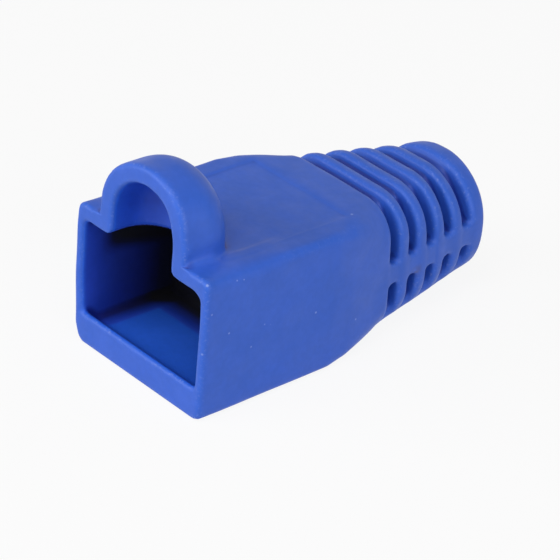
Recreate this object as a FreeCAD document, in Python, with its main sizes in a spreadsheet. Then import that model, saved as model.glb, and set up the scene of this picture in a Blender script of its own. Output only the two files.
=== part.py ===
import FreeCAD, Part
import math
import os
import Sketcher

# Strain relief boot for an eight-way modular plug: one moulding in soft vinyl.
# A square sleeve with an arched latch hood grips the plug, and tapers into a
# ribbed tail around the cable.  The mouth faces -Y, the tail points to +Y, and
# the boot stands on the flat underside of its sleeve.  The origin is under the
# middle of the boot, on the plane it stands on.

os.makedirs("parts", exist_ok=True)
doc = FreeCAD.newDocument("Boot")

SIZES = [
    ("sleeve_length", 12.1),
    ("shoulder_length", 5.6),
    ("neck_run", 0.75),
    ("bend_length", 1.8),
    ("bend_share", 0.2),
    ("sleeve_corner", 0.6),
    ("side_wall", 0.8),
    ("floor_wall", 1.4),
    ("roof_wall", 1.3),
    ("neck_narrowing", 0.75),
    ("neck_drop", 0.15),
    ("neck_rise", 0.3),
    ("neck_corner", 2.6),
    ("cable_height", 5.2),
    ("tail_width", 9.5),
    ("tail_flat", 0.3),
    ("tail_rim_bevel", 0.35),
    ("rib_bevel", 0.25),
    ("mouth_bevel", 0.2),
    ("plug_width", 12.2),
    ("plug_room", 8.3),
    ("plug_depth", 8.6),
    ("lip_height", 1.05),
    ("lip_flat", 0.35),
    ("lip_slope", 0.95),
    ("lip_round", 0.25),
    ("hood_width", 9.7),
    ("hood_rise", 5.6),
    ("hood_depth", 4.7),
    ("hood_back_round", 2.7),
    ("hood_wall", 1.45),
    ("hood_back_wall", 0.85),
    ("pocket_back_round", 2.3),
    ("pocket_edge_bevel", 0.5),
    ("plug_corner", 0.5),
    ("panel_margin", 0.2),
    ("panel_start", 1.5),
    ("panel_end", 14.5),
    ("panel_drop", 0.3),
    ("cable_bore", 6.2),
    ("core_wall", 0.7),
    ("end_ring", 1.57),
    ("slot_width", 0.9),
    ("slot_pitch", 2.07),
    ("slot_count", 5),
    ("band_height", 1.75),
    ("band_recess", 0.05),
]

# Stations behind the mouth: the neck, a short plain run, slots and ribs in turn,
# and the end ring.
NECK_STATION = "(Sizes.sleeve_length + Sizes.shoulder_length)"
FIRST_SLOT = "(%s + Sizes.neck_run)" % NECK_STATION
LAST_SLOT = "(%s + (Sizes.slot_count - 1) * Sizes.slot_pitch)" % FIRST_SLOT
TOTAL_LENGTH = "(%s + Sizes.slot_width + Sizes.end_ring)" % LAST_SLOT

sheet = doc.addObject("Spreadsheet::Sheet", "Sizes")
for row, (name, number) in enumerate(SIZES, start=1):
    sheet.set("A%d" % row, name)
    sheet.set("B%d" % row, str(number))
    sheet.setAlias("B%d" % row, name)
doc.recompute()

body = doc.addObject("PartDesign::Body", "BootBody")
body.Label = "boot"
UPRIGHT = -2  # a sketch's own upright axis


def value(expression):
    """Number that an expression on the sheet gives now."""
    return float(body.evalExpression(expression))


def origin_feature(role):
    """Plane or axis of the body's own origin."""
    return next(f for f in body.Origin.OriginFeatures if f.Role == role)


def cross_sketch(name, station):
    """Sketch across the boot, at a distance behind the mouth."""
    sketch = body.newObject("Sketcher::SketchObject", name)
    sketch.AttachmentSupport = [(origin_feature("XZ_Plane"), "")]
    sketch.MapMode = "FlatFace"
    sketch.setExpression("AttachmentOffset.Base.z", "%s / 2 - (%s)" % (TOTAL_LENGTH, station))
    return sketch


def bind(sketch, constraint, expression):
    """Add a constraint to a sketch and bind its value to an expression."""
    index = sketch.addConstraint(constraint)
    sketch.setExpression("Constraints[%d]" % index, expression)


def line(sketch, start, end):
    """Add a straight edge to a sketch."""
    ends = [FreeCAD.Vector(p[0], p[1], 0) for p in (start, end)]
    return sketch.addGeometry(Part.LineSegment(*ends), False)


def arc(sketch, centre, radius, start, end):
    """Add an arc to a sketch, anticlockwise between two angles in degrees."""
    circle = Part.Circle(FreeCAD.Vector(centre[0], centre[1], 0), FreeCAD.Vector(0, 0, 1), radius)
    turn = [FreeCAD.Units.Quantity("%f deg" % a).getValueAs("rad").Value for a in (start, end)]
    return sketch.addGeometry(Part.ArcOfCircle(circle, *turn), False)


def rounded_box(sketch, width, bottom, height, corner):
    """Closed rounded rectangle, centred on the sketch's upright axis."""
    w, b, t, c = [value(e) for e in (width, bottom, height, corner)]
    w, t = w / 2, b + t
    line(sketch, (c - w, b), (w - c, b))
    arc(sketch, (w - c, b + c), c, -90, 0)
    line(sketch, (w, b + c), (w, t - c))
    arc(sketch, (w - c, t - c), c, 0, 90)
    line(sketch, (w - c, t), (c - w, t))
    arc(sketch, (c - w, t - c), c, 90, 180)
    line(sketch, (-w, t - c), (-w, b + c))
    arc(sketch, (c - w, b + c), c, 180, 270)
    for edge in range(8):
        sketch.addConstraint(Sketcher.Constraint("Tangent", edge, 2, (edge + 1) % 8, 1))
    sketch.addConstraint(Sketcher.Constraint("Symmetric", 0, 1, 0, 2, UPRIGHT))
    sketch.addConstraint(Sketcher.Constraint("Vertical", 2))
    sketch.addConstraint(Sketcher.Constraint("Horizontal", 4))
    sketch.addConstraint(Sketcher.Constraint("Vertical", 6))
    for other in (3, 5, 7):
        sketch.addConstraint(Sketcher.Constraint("Equal", 1, other))
    bind(sketch, Sketcher.Constraint("Radius", 1, c), corner)
    bind(sketch, Sketcher.Constraint("DistanceX", 6, 1, 2, 1, 2 * w), width)
    bind(sketch, Sketcher.Constraint("DistanceY", -1, 1, 0, 1, b), bottom)
    bind(sketch, Sketcher.Constraint("DistanceY", 0, 1, 4, 1, t - b), height)


def arch(sketch, width, bottom, apex):
    """Closed arch: a flat foot, two upright legs and a half circle."""
    r, b = value(width) / 2, value(bottom)
    spring = value(apex) - r
    line(sketch, (-r, b), (r, b))
    line(sketch, (r, b), (r, spring))
    arc(sketch, (0, spring), r, 0, 180)
    line(sketch, (-r, spring), (-r, b))
    sketch.addConstraint(Sketcher.Constraint("Coincident", 0, 2, 1, 1))
    sketch.addConstraint(Sketcher.Constraint("Tangent", 1, 2, 2, 1))
    sketch.addConstraint(Sketcher.Constraint("Tangent", 2, 2, 3, 1))
    sketch.addConstraint(Sketcher.Constraint("Coincident", 3, 2, 0, 1))
    sketch.addConstraint(Sketcher.Constraint("Symmetric", 0, 1, 0, 2, UPRIGHT))
    sketch.addConstraint(Sketcher.Constraint("Vertical", 1))
    sketch.addConstraint(Sketcher.Constraint("Vertical", 3))
    bind(sketch, Sketcher.Constraint("DistanceX", 0, 1, 0, 2, 2 * r), width)
    bind(sketch, Sketcher.Constraint("DistanceY", -1, 1, 0, 1, b), bottom)
    bind(sketch, Sketcher.Constraint("DistanceY", -1, 1, 2, 3, spring), "%s - (%s) / 2" % (apex, width))


def outline(sketch, corners):
    """Closed polygon through corners given as pairs of expressions."""
    points = [(value(a), value(b)) for a, b in corners]
    count = len(points)
    for k in range(count):
        line(sketch, points[k], points[(k + 1) % count])
    for k in range(count):
        sketch.addConstraint(Sketcher.Constraint("Coincident", k, 2, (k + 1) % count, 1))
        bind(sketch, Sketcher.Constraint("DistanceX", -1, 1, k, 1, points[k][0]), corners[k][0])
        bind(sketch, Sketcher.Constraint("DistanceY", -1, 1, k, 1, points[k][1]), corners[k][1])


def edges_where(feature, test):
    """Names of the edges of a feature whose every sample point passes a test."""
    names = []
    for number, edge in enumerate(feature.Shape.Edges, start=1):
        if not edge.Degenerated and all(test(p) for p in edge.discretize(Number=7)):
            names.append("Edge%d" % number)
    return names


def round_edges(name, base, names, radius):
    """Round the named edges of a feature with a radius from the sheet."""
    fillet = body.newObject("PartDesign::Fillet", name)
    fillet.Base = (base, names)
    fillet.setExpression("Radius", radius)
    doc.recompute()
    return fillet


# The sleeve is the room for the plug and a wall on each side of it.  The neck is
# narrower all round, and from there the tail tapers to its nearly round end.
SLEEVE_WIDTH = "(Sizes.plug_width + 2 * Sizes.side_wall)"
SLEEVE_HEIGHT = "(Sizes.floor_wall + Sizes.plug_room + Sizes.roof_wall)"
NECK_WIDTH = "(%s - 2 * Sizes.neck_narrowing)" % SLEEVE_WIDTH
NECK_HEIGHT = "(%s - Sizes.neck_rise - Sizes.neck_drop)" % SLEEVE_HEIGHT
TAIL_BOTTOM = "(Sizes.cable_height - Sizes.tail_width / 2)"
TAIL_CORNER = "((Sizes.tail_width - Sizes.tail_flat) / 2)"


def part_way(start, end):
    """Size of the bend section, its share of the way from the sleeve to the neck."""
    return "(1 - Sizes.bend_share) * %s + Sizes.bend_share * %s" % (start, end)


def tapered(neck_size, end_size, station):
    """Size at a station of the tail, on its way from the neck to the tail's end."""
    run = "(%s - %s)" % (TOTAL_LENGTH, NECK_STATION)
    share = "((%s) - %s) / %s" % (station, NECK_STATION, run)
    return "(%s + (%s - %s) * %s)" % (neck_size, end_size, neck_size, share)


def tail_section(name, station, inset):
    """Section of the tapered tail at a station, drawn in all round by an inset."""
    sketch = cross_sketch(name, station)
    rounded_box(
        sketch,
        "%s - 2 * %s" % (tapered(NECK_WIDTH, "Sizes.tail_width", station), inset),
        "%s + %s" % (tapered("Sizes.neck_rise", TAIL_BOTTOM, station), inset),
        "%s - 2 * %s" % (tapered(NECK_HEIGHT, "Sizes.tail_width", station), inset),
        "%s - %s" % (tapered("Sizes.neck_corner", TAIL_CORNER, station), inset),
    )
    return sketch


def loft(name, sections):
    """Solid with straight-ruled walls through a row of sections."""
    solid = body.newObject("PartDesign::AdditiveLoft", name)
    solid.Profile = sections[0]
    solid.Sections = sections[1:]
    solid.Ruled = True
    doc.recompute()
    return solid


# Sleeve and shoulder.  The bend section, a short way down the shoulder, eases the
# change of slope, and the last section bevels the edge at the first slot.
mouth = cross_sketch("MouthSection", "0")
rounded_box(mouth, SLEEVE_WIDTH, "0", SLEEVE_HEIGHT, "Sizes.sleeve_corner")
sleeve_end = cross_sketch("SleeveEndSection", "Sizes.sleeve_length")
rounded_box(sleeve_end, SLEEVE_WIDTH, "0", SLEEVE_HEIGHT, "Sizes.sleeve_corner")
bend = cross_sketch("BendSection", "Sizes.sleeve_length + Sizes.bend_length")
rounded_box(
    bend,
    part_way(SLEEVE_WIDTH, NECK_WIDTH),
    part_way("0", "Sizes.neck_rise"),
    part_way(SLEEVE_HEIGHT, NECK_HEIGHT),
    part_way("Sizes.sleeve_corner", "Sizes.neck_corner"),
)
neck = tail_section("NeckSection", NECK_STATION, "0")
edge_start = tail_section("ShoulderEdge", FIRST_SLOT + " - Sizes.rib_bevel", "0")
edge_end = tail_section("ShoulderEnd", FIRST_SLOT, "Sizes.rib_bevel")
doc.recompute()
loft("OuterForm", [mouth, sleeve_end, bend, neck, edge_start, edge_end])

# Core of the tail: a tube round the cable, and a band along each side that ties
# the ribs together and narrows with them.
CORE = "(Sizes.cable_bore / 2 + Sizes.core_wall)"
axis_z = value("Sizes.cable_height")
core_r = value(CORE)
half_band = value("Sizes.band_height") / 2
foot_x = (core_r**2 - half_band**2) ** 0.5
lean = FreeCAD.Units.Quantity("%f rad" % math.asin(half_band / core_r)).getValueAs("deg").Value


def core_section(name, station):
    """Circle of the core with the two bands, as wide as the tail at a station."""
    sketch = cross_sketch(name, station)
    half = "(%s / 2 - Sizes.band_recess)" % tapered(NECK_WIDTH, "Sizes.tail_width", station)
    x = value(half)
    top, bottom = axis_z + half_band, axis_z - half_band
    arc(sketch, (0, axis_z), core_r, lean, 180 - lean)
    line(sketch, (-foot_x, top), (-x, top))
    line(sketch, (-x, top), (-x, bottom))
    line(sketch, (-x, bottom), (-foot_x, bottom))
    arc(sketch, (0, axis_z), core_r, 180 + lean, 360 - lean)
    line(sketch, (foot_x, bottom), (x, bottom))
    line(sketch, (x, bottom), (x, top))
    line(sketch, (x, top), (foot_x, top))
    for edge in range(8):
        sketch.addConstraint(Sketcher.Constraint("Coincident", edge, 2, (edge + 1) % 8, 1))
    for level in (1, 3, 5, 7):
        sketch.addConstraint(Sketcher.Constraint("Horizontal", level))
    sketch.addConstraint(Sketcher.Constraint("Coincident", 0, 3, 4, 3))
    sketch.addConstraint(Sketcher.Constraint("PointOnObject", 0, 3, UPRIGHT))
    sketch.addConstraint(Sketcher.Constraint("Vertical", 2))
    sketch.addConstraint(Sketcher.Constraint("Vertical", 6))
    bind(sketch, Sketcher.Constraint("DistanceY", -1, 1, 0, 3, axis_z), "Sizes.cable_height")
    bind(sketch, Sketcher.Constraint("Radius", 0, core_r), CORE)
    bind(sketch, Sketcher.Constraint("Radius", 4, core_r), CORE)
    bind(sketch, Sketcher.Constraint("DistanceX", 1, 2, -1, 1, x), half)
    bind(sketch, Sketcher.Constraint("DistanceX", -1, 1, 5, 2, x), half)
    bind(sketch, Sketcher.Constraint("DistanceY", 2, 2, 2, 1, 2 * half_band), "Sizes.band_height")
    bind(sketch, Sketcher.Constraint("DistanceY", 6, 1, 6, 2, 2 * half_band), "Sizes.band_height")
    upper = "Sizes.cable_height + Sizes.band_height / 2"
    bind(sketch, Sketcher.Constraint("DistanceY", -1, 1, 1, 2, top), upper)
    bind(sketch, Sketcher.Constraint("DistanceY", -1, 1, 6, 2, top), upper)
    return sketch


core_start = core_section("CoreStart", NECK_STATION)
core_end = core_section("CoreEnd", TOTAL_LENGTH + " - Sizes.end_ring / 2")
doc.recompute()
loft("TailCore", [core_start, core_end])

# Ribs and end ring, each a slice of the taper with its edges bevelled.
slots = int(value("Sizes.slot_count"))
for number in range(1, slots + 1):
    start = "(%s + Sizes.slot_width + %d * Sizes.slot_pitch)" % (FIRST_SLOT, number - 1)
    end = "(%s + %d * Sizes.slot_pitch)" % (FIRST_SLOT, number)
    end_bevel = "Sizes.rib_bevel"
    if number == slots:
        end = TOTAL_LENGTH
        end_bevel = "Sizes.tail_rim_bevel"
    sections = [
        tail_section("Rib%dFront" % number, start, "Sizes.rib_bevel"),
        tail_section("Rib%dFrontCrest" % number, start + " + Sizes.rib_bevel", "0"),
        tail_section("Rib%dBackCrest" % number, "%s - %s" % (end, end_bevel), "0"),
        tail_section("Rib%dBack" % number, end, end_bevel),
    ]
    doc.recompute()
    loft("Rib%d" % number, sections)

# Panel for the plug's latch: a shallow flat step in the top wall behind the hood.
panel = body.newObject("Sketcher::SketchObject", "PanelOutline")
panel.AttachmentSupport = [(origin_feature("XY_Plane"), "")]
panel.MapMode = "FlatFace"
PANEL_LEVEL = "%s - Sizes.panel_drop" % SLEEVE_HEIGHT
panel.setExpression("AttachmentOffset.Base.z", PANEL_LEVEL)
PANEL_HALF = "(Sizes.hood_width / 2 + Sizes.panel_margin)"
PANEL_FRONT = "Sizes.panel_start - %s / 2" % TOTAL_LENGTH
PANEL_BACK = "Sizes.panel_end - %s / 2" % TOTAL_LENGTH
outline(
    panel,
    [
        ("-" + PANEL_HALF, PANEL_FRONT),
        (PANEL_HALF, PANEL_FRONT),
        (PANEL_HALF, PANEL_BACK),
        ("-" + PANEL_HALF, PANEL_BACK),
    ],
)
doc.recompute()
step = body.newObject("PartDesign::Pocket", "PanelStep")
step.Profile = panel
step.Type = "ThroughAll"
step.Reversed = True
doc.recompute()

# Hood: an arch that stands on the top wall at the mouth, its back rounded over.
CEILING = "Sizes.floor_wall + Sizes.plug_room"
HOOD_TOP = "%s + Sizes.hood_rise" % SLEEVE_HEIGHT
hood_section = cross_sketch("HoodSection", "0")
arch(hood_section, "Sizes.hood_width", CEILING, HOOD_TOP)
doc.recompute()
hood = body.newObject("PartDesign::Pad", "Hood")
hood.Profile = hood_section
hood.Reversed = True
hood.setExpression("Length", "Sizes.hood_depth")
doc.recompute()

mouth_y = -value(TOTAL_LENGTH) / 2
hood_back_y = mouth_y + value("Sizes.hood_depth")
panel_z = value(PANEL_LEVEL)
hood_r = value("Sizes.hood_width") / 2


def on_hood_back(p):
    """On the flat back of the hood."""
    return abs(p.y - hood_back_y) < 1e-4 and p.z > panel_z - 1e-4


def upright(feature, names):
    """Those of the named edges that rise, leaving out the level ones."""
    return [n for n in names if feature.Shape.getElement(n).BoundBox.ZLength > 1e-3]


crown = upright(hood, edges_where(hood, on_hood_back))
dome = round_edges("HoodBackRound", hood, crown, "Sizes.hood_back_round")


# Socket for the plug, drawn from the side: a lip at the mouth, then the deeper
# floor.  Each cut starts a wall's thickness outside the material it enters.
OVERSHOOT = "Sizes.floor_wall"
socket_side = body.newObject("Sketcher::SketchObject", "SocketSide")
socket_side.AttachmentSupport = [(origin_feature("YZ_Plane"), "")]
socket_side.MapMode = "FlatFace"
MOUTH = "-%s / 2" % TOTAL_LENGTH
LIP_TOP = "Sizes.floor_wall + Sizes.lip_height"
outline(
    socket_side,
    [
        ("%s - %s" % (MOUTH, OVERSHOOT), LIP_TOP),
        (MOUTH + " + Sizes.lip_flat", LIP_TOP),
        (MOUTH + " + Sizes.lip_flat + Sizes.lip_slope", "Sizes.floor_wall"),
        (MOUTH + " + Sizes.plug_depth", "Sizes.floor_wall"),
        (MOUTH + " + Sizes.plug_depth", CEILING),
        ("%s - %s" % (MOUTH, OVERSHOOT), CEILING),
    ],
)
doc.recompute()
socket = body.newObject("PartDesign::Pocket", "PlugSocket")
socket.Profile = socket_side
socket.Midplane = True
socket.setExpression("Length", "Sizes.plug_width")
doc.recompute()

# Pocket inside the hood, where the plug's latch is pressed.
pocket_section = cross_sketch("HoodPocketSection", "0")
arch(
    pocket_section,
    "(Sizes.hood_width - 2 * Sizes.hood_wall)",
    "%s - %s" % (CEILING, OVERSHOOT),
    "%s - Sizes.hood_wall" % HOOD_TOP,
)
doc.recompute()
pocket = body.newObject("PartDesign::Pocket", "HoodPocket")
pocket.Profile = pocket_section
pocket.setExpression("Length", "Sizes.hood_depth - Sizes.hood_back_wall")
doc.recompute()
pocket_back_y = mouth_y + value("Sizes.hood_depth - Sizes.hood_back_wall")
ceiling_z = value(CEILING)


def on_pocket_back(p):
    """On the flat back of the hood's pocket, above the ceiling of the socket."""
    return abs(p.y - pocket_back_y) < 1e-4 and p.z > ceiling_z - 1e-4 and abs(p.x) < hood_r


vault = upright(pocket, edges_where(pocket, on_pocket_back))
scoop = round_edges("PocketBackRound", pocket, vault, "Sizes.pocket_back_round")

# Passage for the cable, from the socket out of the tail.
cable_section = cross_sketch("CableSection", "Sizes.plug_depth / 2")
bore_d = value("Sizes.cable_bore")
bore_centre = FreeCAD.Vector(0, axis_z, 0)
cable_section.addGeometry(Part.Circle(bore_centre, FreeCAD.Vector(0, 0, 1), bore_d / 2), False)
cable_section.addConstraint(Sketcher.Constraint("PointOnObject", 0, 3, UPRIGHT))
bind(cable_section, Sketcher.Constraint("DistanceY", -1, 1, 0, 3, axis_z), "Sizes.cable_height")
bind(cable_section, Sketcher.Constraint("Diameter", 0, bore_d), "Sizes.cable_bore")
doc.recompute()
bore = body.newObject("PartDesign::Pocket", "CableBore")
bore.Profile = cable_section
bore.Type = "ThroughAll"
doc.recompute()

# Soft edges, as they leave the mould.
spring_z = value(HOOD_TOP) - hood_r
pocket_r = hood_r - value("Sizes.hood_wall")
plug_half = value("Sizes.plug_width") / 2
lip_z = value(LIP_TOP)


def on_mouth_rim(p):
    """On the outer rim of the mouth, outside the socket and the hood's pocket."""
    in_socket = abs(p.x) < plug_half + 1e-3 and lip_z - 1e-3 < p.z < ceiling_z + 1e-3
    in_pocket = p.z > ceiling_z and math.hypot(p.x, max(p.z - spring_z, 0)) < pocket_r + 1e-3
    return abs(p.y - mouth_y) < 1e-4 and not in_socket and not in_pocket


def bevel_edges(name, base, names, size):
    """Bevel the named edges of a feature by a size from the sheet."""
    chamfer = body.newObject("PartDesign::Chamfer", name)
    chamfer.Base = (base, names)
    chamfer.setExpression("Size", size)
    doc.recompute()
    return chamfer


mouth_rim = edges_where(bore, on_mouth_rim)
mouth_bevel = bevel_edges("MouthRimBevel", bore, mouth_rim, "Sizes.mouth_bevel")


def on_pocket_edge(p):
    """Where the hood's pocket opens into the ceiling of the socket."""
    inside = abs(p.x) < hood_r - 1e-3 and mouth_y - 1e-4 < p.y < pocket_back_y + 1e-4
    return abs(p.z - ceiling_z) < 1e-4 and inside


pocket_edge = edges_where(mouth_bevel, on_pocket_edge)
pocket_bevel = bevel_edges("PocketEdgeBevel", mouth_bevel, pocket_edge, "Sizes.pocket_edge_bevel")


def on_plug_corner(p):
    """Along the two upper corners of the socket."""
    return abs(p.z - ceiling_z) < 1e-4 and abs(abs(p.x) - plug_half) < 1e-4


plug_corner = edges_where(pocket_bevel, on_plug_corner)
corner_round = round_edges("PlugCornerRound", pocket_bevel, plug_corner, "Sizes.plug_corner")


def on_lip_edge(p):
    """Front edge of the lip."""
    return abs(p.z - lip_z) < 1e-4 and abs(p.y - mouth_y) < 1e-4


lip_edge = edges_where(corner_round, on_lip_edge)
lip_round = round_edges("LipRound", corner_round, lip_edge, "Sizes.lip_round")


def on_mouth_inside(p):
    """On the inner edge of the mouth, round the socket and the hood's pocket."""
    in_socket = abs(p.x) < plug_half + 1e-3 and lip_z + 1e-3 < p.z < ceiling_z + 1e-3
    in_pocket = p.z > ceiling_z and math.hypot(p.x, max(p.z - spring_z, 0)) < pocket_r + 1e-3
    return abs(p.y - mouth_y) < 1e-4 and (in_socket or in_pocket)


inner_edge = edges_where(lip_round, on_mouth_inside)
mouth_inside = bevel_edges("MouthInnerBevel", lip_round, inner_edge, "Sizes.mouth_bevel")
body.Tip = mouth_inside
doc.recompute()

for item in doc.Objects:
    if "Invalid" in item.State or "Error" in item.State:
        raise RuntimeError("%s failed: %s" % (item.Label, item.State))
if body.Shape.isNull() or not body.Shape.isValid() or len(body.Shape.Solids) != 1:
    raise RuntimeError("the boot is not one sound solid")
body.Shape.exportStep("parts/%s.step" % body.Label)
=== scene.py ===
import math
import bmesh
import bpy
import numpy as np
from mathutils import Euler, Matrix, Vector


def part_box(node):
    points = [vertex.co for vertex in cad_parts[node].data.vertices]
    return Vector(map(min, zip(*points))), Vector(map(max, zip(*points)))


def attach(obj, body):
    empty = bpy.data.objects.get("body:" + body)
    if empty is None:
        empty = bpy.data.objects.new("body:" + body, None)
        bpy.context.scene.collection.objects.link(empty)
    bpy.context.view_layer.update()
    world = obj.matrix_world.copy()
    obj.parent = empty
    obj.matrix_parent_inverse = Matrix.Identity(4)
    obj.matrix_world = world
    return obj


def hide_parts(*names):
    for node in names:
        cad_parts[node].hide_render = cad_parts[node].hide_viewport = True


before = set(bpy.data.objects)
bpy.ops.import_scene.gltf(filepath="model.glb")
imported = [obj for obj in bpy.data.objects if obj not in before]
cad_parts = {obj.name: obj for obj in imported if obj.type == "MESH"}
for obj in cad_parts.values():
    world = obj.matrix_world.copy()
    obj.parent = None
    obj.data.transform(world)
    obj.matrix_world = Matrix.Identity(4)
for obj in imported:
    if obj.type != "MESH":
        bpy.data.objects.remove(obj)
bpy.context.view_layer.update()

# Boot: one moulding in soft, satin blue vinyl.  It comes hot from the tool, so
# every edge is a little round, and its thin walls are not quite true: the left
# one stands out at the mouth.  Its sizes are in millimetres, its angles in degrees.
MM = 0.001
FACET = 0.18
NECK_STATION, TAPER_RUN = 3.1, 11.5
NECK_WIDTH, NECK_HEIGHT, NECK_CORNER, NECK_RISE = 12.3, 10.55, 2.6, 0.3
WIDTH_LOSS, HEIGHT_LOSS, CORNER_GAIN, RISE_GAIN = 2.8, 1.05, 2.0, 0.15
CABLE_HEIGHT = 5.2
WEB_TUBE = 3.4
WEB_START, WEB_END = 3.6, 13.3
CREST_DEPTH, SIDE_DEPTH = 0.8, 1.7
CREST_SPAN = 75
LOW_START, LOW_SPAN = 8, 35
THINNEST_CORNER = 0.2


def ramp(values, start, end):
    """Smooth step from 0 at start to 1 at end: 3 t squared less 2 t cubed."""
    t = np.clip((values - start) / (end - start), 0, 1)
    return t * t * (3 - 2 * t)


def tail_web():
    """Closed ring of vinyl in the slots' floors: its outer side is the tail's own
    tapered section drawn in by a depth, which is small along the crest, nothing
    from the lower corners down and large at the sides; its inner side is a tube
    in the core."""
    station = np.linspace(WEB_START, WEB_END, 40)[:, None]
    turn = np.linspace(0, 2 * np.pi, 181)[:-1][None, :]
    share = (station - NECK_STATION) / TAPER_RUN
    width, height = NECK_WIDTH - WIDTH_LOSS * share, NECK_HEIGHT - HEIGHT_LOSS * share
    corner, bottom = NECK_CORNER + CORNER_GAIN * share, NECK_RISE + RISE_GAIN * share
    rise = np.degrees(np.arcsin(np.sin(turn)))
    below = np.clip((-rise - LOW_START) / LOW_SPAN, 0, 1)
    above = np.clip(rise / CREST_SPAN, 0, 1)
    inset = np.where(rise < 0, 0, CREST_DEPTH) + (1 - np.maximum(below, above)) * SIDE_DEPTH
    inset = np.minimum(inset, corner - THINNEST_CORNER)
    across, upward = np.cos(turn), np.sin(turn)
    out_x = np.sign(across) * (width / 2 - corner) + (corner - inset) * across
    out_z = bottom + height / 2 + np.sign(upward) * (height / 2 - corner)
    out_z = out_z + (corner - inset) * upward
    in_x = WEB_TUBE * across + 0 * station
    in_z = CABLE_HEIGHT + WEB_TUBE * upward + 0 * station
    ring_x = np.concatenate([out_x, in_x[::-1]])
    ring_z = np.concatenate([out_z, in_z[::-1]])
    ring_y = np.concatenate([station, station[::-1]]) + 0 * turn
    web_points = np.stack([ring_x, ring_y, ring_z], axis=2).reshape(-1, 3) * MM
    index = np.arange(ring_x.size).reshape(ring_x.shape)
    ahead, around = np.roll(index, -1, axis=0), np.roll(index, -1, axis=1)
    both = np.roll(ahead, -1, axis=1)
    quads = np.stack([index, ahead, both, around], axis=2).reshape(-1, 4)
    web = bpy.data.meshes.new("web")
    web.from_pydata(web_points.tolist(), [], quads.tolist())
    return web


def even_skin(node, facet):
    """The solid's surface and the web's, rebuilt as one from facets of one size."""
    mesh = node.data.copy()
    joined = bmesh.new()
    joined.from_mesh(mesh)
    joined.from_mesh(tail_web())
    bmesh.ops.remove_doubles(joined, verts=joined.verts, dist=1e-6)
    joined.to_mesh(mesh)
    joined.free()
    mesh.materials.clear()
    draft = bpy.data.objects.new("draft", mesh)
    bpy.context.scene.collection.objects.link(draft)
    remesh = draft.modifiers.new("facets", "REMESH")
    remesh.mode = "VOXEL"
    remesh.voxel_size = facet * MM
    bpy.context.view_layer.update()
    shown = draft.evaluated_get(bpy.context.evaluated_depsgraph_get())
    skin = bpy.data.meshes.new_from_object(shown)
    bpy.data.objects.remove(draft)
    return skin


def neighbour_middle(points, sides):
    """Mean of the points at the far ends of the sides that meet at each point."""
    ends = np.concatenate([sides, sides[:, ::-1]])
    count = np.bincount(ends[:, 0], minlength=len(points))
    total = [np.bincount(ends[:, 0], points[ends[:, 1], axis], len(points)) for axis in range(3)]
    return np.stack(total, axis=1) / count[:, None]


def soften(points, sides, share, passes):
    """Each point moved its share of the way to the middle of its neighbours,
    several times over, which rounds edges and leaves flat walls as they are."""
    for _ in range(passes):
        points = points + share[:, None] * (neighbour_middle(points, sides) - points)
    return points


# The edges are softened all over, a little less on the tail, more along its crest
# and most at the hood's foot, where the vinyl runs out onto the sleeve.
EDGE_PASSES, CREST_PASSES, FOOT_PASSES = 3, 2, 22
TAIL_SPARED = 0.12
skin = even_skin(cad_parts["boot"], FACET)
points = np.empty(len(skin.vertices) * 3)
skin.vertices.foreach_get("co", points)
points = points.reshape(-1, 3)
sides = np.empty(len(skin.edges) * 2, dtype=np.int64)
skin.edges.foreach_get("vertices", sides)
sides = sides.reshape(-1, 2)
half_share = np.full(len(points), 0.5)
in_tail = ramp(points[:, 1], 3.0 * MM, 3.6 * MM)
points = soften(points, sides, half_share - TAIL_SPARED * in_tail, EDGE_PASSES)
on_crest = ramp(points[:, 1], 3.2 * MM, 3.8 * MM) * ramp(points[:, 2], 6.5 * MM, 9.5 * MM)
points = soften(points, sides, 0.5 * on_crest, CREST_PASSES)
foot_x, foot_y, foot_z = points.T / MM
foot_x = np.abs(foot_x)
by_foot = ramp(foot_x, 3.6, 4.4) * ramp(foot_z, 10.2, 10.6) * (1 - ramp(foot_z, 11.6, 12.4))
by_foot = by_foot * ramp(foot_y, -14.4, -13.6) * (1 - ramp(foot_y, -8.6, -7.2))
points = soften(points, sides, 0.5 * by_foot, FOOT_PASSES)

# Painted shade for each point, which darkens the colour inside: 0 outside, and up to 1
# at the far end of the socket, where the painted shade gathers first under the ceiling
# and along the floor's sides, and deep in the cable's bore.  The hood's pocket is shallow and stays near the
# mouth's own painted shade.
SOCKET_HALF, SOCKET_LOW, SOCKET_HIGH, SOCKET_END = 6.5, 1.1, 10.2, 8.8
FLOOR_HIGH, FLOOR_END = 1.9, 8.2
POCKET_LOW, POCKET_SPRING, POCKET_REACH = 9.9, 11.75, 2.5
POCKET_FLAT, POCKET_RUN = 1.6, 1.8
BORE_REACH = 3.45
BORE_END = 29.3
x, y, z = points.T / MM
mouth = np.array(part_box("boot")[0]) / MM
depth = y - mouth[1]
in_socket = (np.abs(x) < SOCKET_HALF) & (z > SOCKET_LOW) & (z < SOCKET_HIGH) & (depth < SOCKET_END)
on_floor = in_socket & (z < FLOOR_HIGH) & (depth < FLOOR_END)
arch = np.hypot(x, np.maximum(z - POCKET_SPRING, 0))
bend = np.hypot(np.maximum(arch - POCKET_FLAT, 0), np.maximum(depth - POCKET_RUN, 0))
in_hood = (z >= POCKET_LOW) & (bend < POCKET_REACH)
in_bore = (np.hypot(x, z - CABLE_HEIGHT) < BORE_REACH) & (depth >= FLOOR_END)
wall_shade = 0.02 + depth / 9.0 + 0.6 * ramp(z, 5.8, 7.6) * ramp(depth, 1.4, 3.2)
floor_shade = 0.03 + ramp(depth, 5.8, 8.4) + ramp(np.abs(x), 4.6, 6.1) * (wall_shade + 0.1) * ramp(depth, 0.6, 2.4)
painted_shade = np.where(in_socket, wall_shade, 0)
painted_shade = np.where(on_floor, floor_shade, painted_shade) * ramp(depth, 0.05, 0.35)
painted_shade = np.where(in_hood, 0.055 * ramp(depth, 0.1, 0.6), painted_shade)
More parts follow.
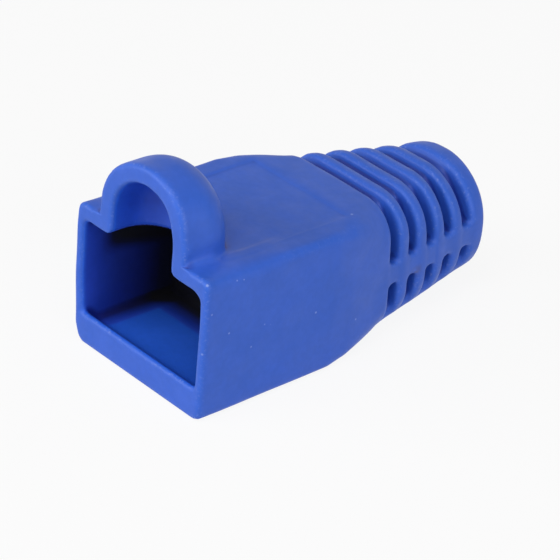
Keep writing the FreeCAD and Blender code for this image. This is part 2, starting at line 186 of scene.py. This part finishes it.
painted_shade = np.clip(np.where(in_bore, ramp(BORE_END - depth, 0.4, 6), painted_shade), 0, 1)

# The left wall stands out at the mouth, most of all two thirds of the way up, and
# the flat walls wave faintly.
BULGE = 0.36
ROOF_WAVE = 0.02
bulge = ramp(-x, 4.9, 6.1) * (1 - ramp(depth, 0, 8.5))
bulge = bulge * ramp(z, 0.5, 6.0) * (1 - 0.4 * ramp(z, 8.5, 11.5))
sway = 0.02 * np.sin(0.9 * y + 0.4 * z) + 0.015 * np.sin(1.3 * z - 0.7 * y + 1.0)
points[:, 0] += (-BULGE * bulge + sway) * MM
rise = ROOF_WAVE * np.sin(0.8 * x + 0.5 * y) * ramp(z, 6, 10)
points[:, 2] += rise * MM

# The panel's step is faint in the moulding, and its right border has sunk a little.
STEP_LEFT, PANEL_DROP, BORDER_SUNK = 0.4, 0.3, 0.09
SLEEVE_HEIGHT, SLEEVE_END, SHOULDER_RUN, NECK_DROP = 11.0, -2.5, 5.6, 0.15
top = SLEEVE_HEIGHT - NECK_DROP * np.clip((y - SLEEVE_END) / SHOULDER_RUN, 0, 1)
below_top = top - z
on_panel = (below_top < 0.6) * (1 - ramp(np.abs(x), 5.2, 5.5)) * (1 - ramp(y, 0.1, 0.6))
by_hood = ramp(np.abs(x), 4.2, 4.7) * (1 - ramp(depth, 5.0, 9.5))
step_left = STEP_LEFT * (1 - by_hood)
points[:, 2] += (1 - step_left) * np.clip(below_top, 0, PANEL_DROP) * on_panel * MM
sink = ramp(x, 4.7, 5.3) * ramp(z, 9.9, 10.7) * ramp(depth, 1.2, 2.4) * (1 - ramp(depth, 13.0, 15.0))
points[:, 2] -= BORDER_SUNK * sink * (1 - by_hood) * (z < 11.5) * MM

# The hood's right leg stands in a little at the mouth.  The tail's slots lean to
# the front at their tops, its lower corners are full and its end ring is long.
LEG_IN = 0.5
SLOT_LEAN, UPRIGHT_BELOW = 0.075, 4
CORNER_OUT, SLANT = 0.12, 0.7
END_OUT = 0.12
leg = ramp(x, 1.0, 3.6) * (1 - ramp(x, 5.4, 6.6)) * ramp(z, 8.4, 10.2) * (1 - ramp(z, 12.6, 16.2))
points[:, 0] -= LEG_IN * leg * (1 - ramp(depth, 0.5, 5.5)) * MM
lean = SLOT_LEAN * np.maximum(z - UPRIGHT_BELOW, 0) * ramp(y, 0.3, 3.7) * (1 - ramp(y, 12.2, 14.4))
points[:, 1] -= lean * MM
outer = ramp(np.hypot(x, z - CABLE_HEIGHT), 3.3, 4.0) * ramp(y, -1.5, 2.5)
slope = np.degrees(np.arctan2(CABLE_HEIGHT - z, np.abs(x)))
corner = outer * ramp(slope, 8, 38) * (1 - ramp(slope, 60, 85))
points[:, 0] += CORNER_OUT * SLANT * corner * np.sign(x) * MM
points[:, 2] -= CORNER_OUT * SLANT * corner * MM
points[:, 1] += END_OUT * ramp(y, 12.5, 14.6) * MM

# At the mouth the floor's edge stands forward, and the lower left corner is drawn in.
SILL_OUT, CORNER_IN = 0.08, 0.45
sill = (1 - ramp(z, 0.5, 5.0)) * (1 - ramp(depth, 0.5, 3.5))
points[:, 1] -= SILL_OUT * sill * MM
cut = (1 - ramp(z, 0, 1.6)) * ramp(-x, 5.5, 6.6) * (1 - ramp(depth, 3, 8))
points[:, 0] += CORNER_IN * cut * MM

# Rounding the edges drew the form in a little, and this makes up for it.
REGROWTH = (1.006, 1.007, 1.006)
points *= REGROWTH

# Ridges and hollows: how far a point stands out from the smoothed form, or lies in.
RELIEF_PASSES = 8
far = soften(points, sides, half_share, RELIEF_PASSES)
skin.vertices.foreach_set("co", points.ravel())
skin.update()
normals = np.empty(len(points) * 3)
skin.vertex_normals.foreach_get("vector", normals)
normals = normals.reshape(-1, 3)
relief = np.sum((points - far) * normals, axis=1) / MM * (1 - 0.8 * by_foot)
for name, values in (("painted_shade", painted_shade), ("relief", relief)):
    layer = skin.attributes.new(name, "FLOAT", "POINT")
    layer.data.foreach_set("value", values.astype(np.float32))
skin.polygons.foreach_set("use_smooth", np.ones(len(skin.polygons), bool))
boot = bpy.data.objects.new("boot_skin", skin)
bpy.context.scene.collection.objects.link(boot)
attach(boot, "root")
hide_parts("boot")

# Vinyl: a saturated blue with painted shade in the hollows and a paler tone along the
# ridges that is partly wear and partly a painted highlight, with a faint cloudiness, a fine moulded grain
# and a little dust.
vinyl = bpy.data.materials.new("blue_vinyl")
vinyl.use_nodes = True
tree = vinyl.node_tree
tree.nodes.clear()


def put(kind, settings=(), values=(), feeds=()):
    """Node with its settings, its plain socket values and its incoming links."""
    node = tree.nodes.new(kind)
    for setting, choice in dict(settings).items():
        setattr(node, setting, choice)
    for socket, number in dict(values).items():
        node.inputs[socket].default_value = number
    for socket, source in dict(feeds).items():
        tree.links.new(source, node.inputs[socket])
    return node


def scaled(source, start, end, low_value, high_value):
    """Range of a value mapped to another range, with its ends held."""
    bounds = {1: start, 2: end, 3: low_value, 4: high_value}
    return put("ShaderNodeMapRange", values=bounds, feeds={0: source}).outputs[0]


def noise(scale, detail):
    """Cloud noise in the boot's own coordinates."""
    values = {"Scale": scale, "Detail": detail}
    return put("ShaderNodeTexNoise", values=values, feeds={"Vector": place}).outputs["Fac"]


def blended(mode, factor, under, over):
    """Two colours blended; either may be a link or a plain colour."""
    node = put("ShaderNodeMix", {"data_type": "RGBA", "blend_type": mode})
    for socket, item in ((0, factor), (6, under), (7, over)):
        if isinstance(item, bpy.types.NodeSocket):
            tree.links.new(item, node.inputs[socket])
        else:
            node.inputs[socket].default_value = item
    return node.outputs[2]


VINYL_BLUE = (0.036, 0.138, 0.700, 1)
CLOUD_BLUE = (0.044, 0.150, 0.752, 1)
MOTTLE_BLUE = (0.028, 0.105, 0.53, 1)
RIDGE_WEAR_AND_HIGHLIGHT_BLUE = (0.05, 0.20, 0.90, 1)
CRUMB_BLUE = (0.40, 0.50, 0.90, 1)
HOLLOW_SHADE_BLUE = (0.010, 0.022, 0.27, 1)
place = put("ShaderNodeTexCoord").outputs["Object"]
relief_value = put("ShaderNodeAttribute", {"attribute_name": "relief"}).outputs["Fac"]
painted_shade_value = put("ShaderNodeAttribute", {"attribute_name": "painted_shade"}).outputs["Fac"]
clouds = scaled(noise(350, 3), 0.35, 0.65, 0, 1)
colour = blended("MIX", clouds, VINYL_BLUE, CLOUD_BLUE)
mottle = scaled(noise(2200, 4), 0.35, 0.65, 0, 0.2)
colour = blended("MIX", mottle, colour, MOTTLE_BLUE)
# Paler along the ridges: partly wear and partly a painted highlight.
ridge_wear_and_highlight = scaled(relief_value, 0.012, 0.06, 0, 0.2)
colour = blended("MIX", ridge_wear_and_highlight, colour, RIDGE_WEAR_AND_HIGHLIGHT_BLUE)
crumbs = scaled(noise(4500, 3), 0.55, 0.75, 0, 1.6)
dust = put("ShaderNodeMath", {"operation": "MULTIPLY"}, feeds={0: ridge_wear_and_highlight, 1: crumbs}).outputs[0]
colour = blended("MIX", dust, colour, CRUMB_BLUE)
# Painted shade: hollows such as the slots' floors are darkened in the colour.
hollow_shade = scaled(relief_value, -0.008, -0.045, 0, 0.8)
colour = blended("MIX", hollow_shade, colour, HOLLOW_SHADE_BLUE)
# Painted light and shade in the socket: the colour is multiplied by a ramp, 0.77 outside, lighter on the
# socket's floor near the mouth as painted light, and darker with depth to nearly black as painted shade.
OPEN_SHADE = (0.77, 0.77, 0.77, 1)
DEEPEST_SHADE = (0.003, 0.003, 0.006, 1)
shade = put("ShaderNodeValToRGB", feeds={0: painted_shade_value})
stops = shade.color_ramp.elements
stops[0].color = OPEN_SHADE
stops[1].color = DEEPEST_SHADE
for reach, tint in (
    (0.03, (0.55, 0.87, 0.98)),
    (0.08, (0.56, 0.48, 0.74)),
    (0.2, (0.32, 0.32, 0.56)),
    (0.4, (0.15, 0.18, 0.36)),
    (0.62, (0.07, 0.09, 0.20)),
    (0.8, (0.015, 0.02, 0.04)),
):
    stop = stops.new(reach)
    stop.color = (*tint, 1)
colour = blended("MULTIPLY", 1.0, colour, shade.outputs[0])

# Dust: pale specks that cling to the top, the right side and the mouth's rim, each
# with its place and its radius, and a brown rub on the tail's side band.
SPECK_PALE, SPECK_SHARE, SPECK_CORE = (0.45, 0.55, 0.85, 1), 0.4, 0.4
SPECKS = (
    (3.34, -3.13, 10.7, 0.10), (2.55, -1.7, 10.7, 0.10), (5.04, 0.15, 10.94, 0.14),
    (6.89, -12.06, 10.49, 0.08), (6.9, -11.47, 10.38, 0.07), (-0.31, 5.75, 10.64, 0.13),
    (6.66, -14.54, 10.81, 0.13), (6.9, -4.34, 5.38, 0.11), (6.9, -10.32, 4.67, 0.10),
    (6.9, -9.23, 6.11, 0.10), (6.9, -8.68, 5.92, 0.09), (6.65, -0.07, 3.26, 0.12),
    (6.9, -12.46, 6.49, 0.10), (6.73, -14.6, 5.49, 0.13), (6.9, -14.18, 8.54, 0.10),
    (6.25, -14.6, 5.51, 0.10), (4.72, -14.58, 2.29, 0.12), (-1.85, 4.75, 10.45, 0.12),
)
specks = None
for speck_x, speck_y, speck_z, radius in SPECKS:
    centre = (speck_x * MM, speck_y * MM, speck_z * MM)
    away = put("ShaderNodeVectorMath", {"operation": "DISTANCE"}, {1: centre}, {0: place})
    spot = scaled(away.outputs["Value"], SPECK_CORE * radius * MM, radius * MM, 1, 0)
    if specks is not None:
        spot = put("ShaderNodeMath", {"operation": "MAXIMUM"}, feeds={0: specks, 1: spot}).outputs[0]
    specks = spot
specks = put("ShaderNodeMath", {"operation": "MULTIPLY"}, {1: SPECK_SHARE}, {0: specks}).outputs[0]
colour = blended("MIX", specks, colour, SPECK_PALE)
RUB_PLACE = (5.7 * MM, 6.76 * MM, 4.48 * MM)
RUB_BROWN = (0.10, 0.07, 0.09, 1)
near_rub = put("ShaderNodeVectorMath", {"operation": "DISTANCE"}, {1: RUB_PLACE}, {0: place})
rub = scaled(near_rub.outputs["Value"], 0.1 * MM, 0.75 * MM, 0.45, 0)
patchy = scaled(noise(2500, 2), 0.35, 0.6, 0.2, 1)
rub = put("ShaderNodeMath", {"operation": "MULTIPLY"}, feeds={0: rub, 1: patchy}).outputs[0]
colour = blended("MIX", rub, colour, RUB_BROWN)

# Finish: a fine moulded grain over a satin gloss, which is lost deep in the socket.
GRAIN_HEIGHT = 0.02 * MM
grain = {"Height": noise(7000, 2)}
bump = put("ShaderNodeBump", values={"Strength": 0.25, "Distance": GRAIN_HEIGHT}, feeds=grain)
gloss = scaled(noise(900, 2), 0.3, 0.7, 0.40, 0.50)
dull = scaled(painted_shade_value, 0.1, 0.6, 0, 0.5)
gloss = put("ShaderNodeMath", {"operation": "ADD"}, feeds={0: gloss, 1: dull}).outputs[0]
shader = put(
    "ShaderNodeBsdfPrincipled",
    values={"Specular IOR Level": 0.3},
    feeds={"Base Color": colour, "Roughness": gloss, "Normal": bump.outputs["Normal"]},
)
put("ShaderNodeOutputMaterial", feeds={"Surface": shader.outputs["BSDF"]})
boot.data.materials.append(vinyl)

# Floor: a plain pale sheet of matt paper under the boot, on which its shadow shows
# faintly.  It is white to the eye, in mirrors and through glass, and matt and pale
# grey to all other light.
PAPER_HALF = 3
corners = [(i * PAPER_HALF, j * PAPER_HALF, 0) for i, j in ((-1, -1), (1, -1), (1, 1), (-1, 1))]
floor_mesh = bpy.data.meshes.new("floor")
floor_mesh.from_pydata(corners, [], [(0, 1, 2, 3)])
floor = bpy.data.objects.new("floor", floor_mesh)
bpy.context.scene.collection.objects.link(floor)
paper = bpy.data.materials.new("pale_paper")
paper.use_nodes = True
tree = paper.node_tree
tree.nodes.clear()


def seen_directly():
    """1 for what the camera sees, also in a mirror or through glass."""
    path = put("ShaderNodeLightPath")
    mirrored = put(
        "ShaderNodeMath",
        {"operation": "MAXIMUM"},
        feeds={0: path.outputs["Is Camera Ray"], 1: path.outputs["Is Glossy Ray"]},
    )
    through = {0: mirrored.outputs[0], 1: path.outputs["Is Transmission Ray"]}
    return put("ShaderNodeMath", {"operation": "MAXIMUM"}, feeds=through).outputs[0]


matt = put("ShaderNodeBsdfDiffuse", values={"Color": (0.8, 0.8, 0.8, 1)})
glow = put("ShaderNodeEmission", values={"Color": (1, 1, 1, 1)})
GLOW_SHARE = 0.9
share = put("ShaderNodeMath", {"operation": "MULTIPLY"}, {1: GLOW_SHARE}, {0: seen_directly()})
blend = put("ShaderNodeMixShader", feeds={0: share.outputs[0], 1: matt.outputs[0], 2: glow.outputs[0]})
put("ShaderNodeOutputMaterial", feeds={"Surface": blend.outputs[0]})
floor.data.materials.append(paper)

# Studio light: a white surround that gives little light of its own, and large
# soft lamps that stand round the boot.  Their sizes are in metres.
world = bpy.data.worlds.new("studio")
bpy.context.scene.world = world
world.use_nodes = True
tree = world.node_tree
tree.nodes.clear()
ambient = put("ShaderNodeBackground", values={"Color": (1, 1, 1, 1), "Strength": 0.03})
surround = put("ShaderNodeBackground", values={"Color": (1, 1, 1, 1), "Strength": 1.0})
blend = put("ShaderNodeMixShader", feeds={0: seen_directly(), 1: ambient.outputs[0], 2: surround.outputs[0]})
put("ShaderNodeOutputWorld", feeds={"Surface": blend.outputs[0]})
LAMP_SIZE, LAMP_DISTANCE, AIM_HEIGHT = 0.25, 0.4, 0.006


def soft_box(name, azimuth, elevation, power):
    """Square lamp aimed at the boot from a compass direction."""
    lamp = bpy.data.lights.new(name, "AREA")
    lamp.shape = "SQUARE"
    lamp.size = LAMP_SIZE
    lamp.energy = power
    a, e = math.radians(azimuth), math.radians(elevation)
    back = Vector((math.sin(a) * math.cos(e), -math.cos(a) * math.cos(e), math.sin(e)))
    holder = bpy.data.objects.new(name, lamp)
    holder.location = Vector((0, 0, AIM_HEIGHT)) + back * LAMP_DISTANCE
    holder.rotation_euler = back.to_track_quat("Z", "Y").to_euler()
    bpy.context.scene.collection.objects.link(holder)


soft_box("front", 0, 40, 0.37)
soft_box("front_left", -30, 15, 0.86)
soft_box("front_right", 60, 20, 0.32)
soft_box("above", 30, 65, 0.60)
soft_box("side", 95, 15, 0.50)
soft_box("behind", 180, 40, 0.07)

# Camera: a long lens that looks into the mouth from above and from the right, with
# the horizon tipped a little.
AZIMUTH, ELEVATION, ROLL = 45.68, 30.12, 5.167
CAMERA_PLACE = (0.122117, -0.119996, 0.102047)
camera_data = bpy.data.cameras.new("camera")
camera_data.lens = 174.5
camera_data.sensor_width = 36
camera_data.shift_x = -0.01065
camera_data.shift_y = 0.0095
camera_data.clip_start = 0.01
camera_data.clip_end = 10
camera = bpy.data.objects.new("camera", camera_data)
turn = Euler((math.radians(90 - ELEVATION), 0, math.radians(AZIMUTH))).to_matrix()
turn = turn @ Matrix.Rotation(math.radians(ROLL), 3, "Z")
camera.matrix_world = Matrix.Translation(CAMERA_PLACE) @ turn.to_4x4()
bpy.context.scene.collection.objects.link(camera)
bpy.context.scene.camera = camera
bpy.context.scene.view_settings.view_transform = "Standard"
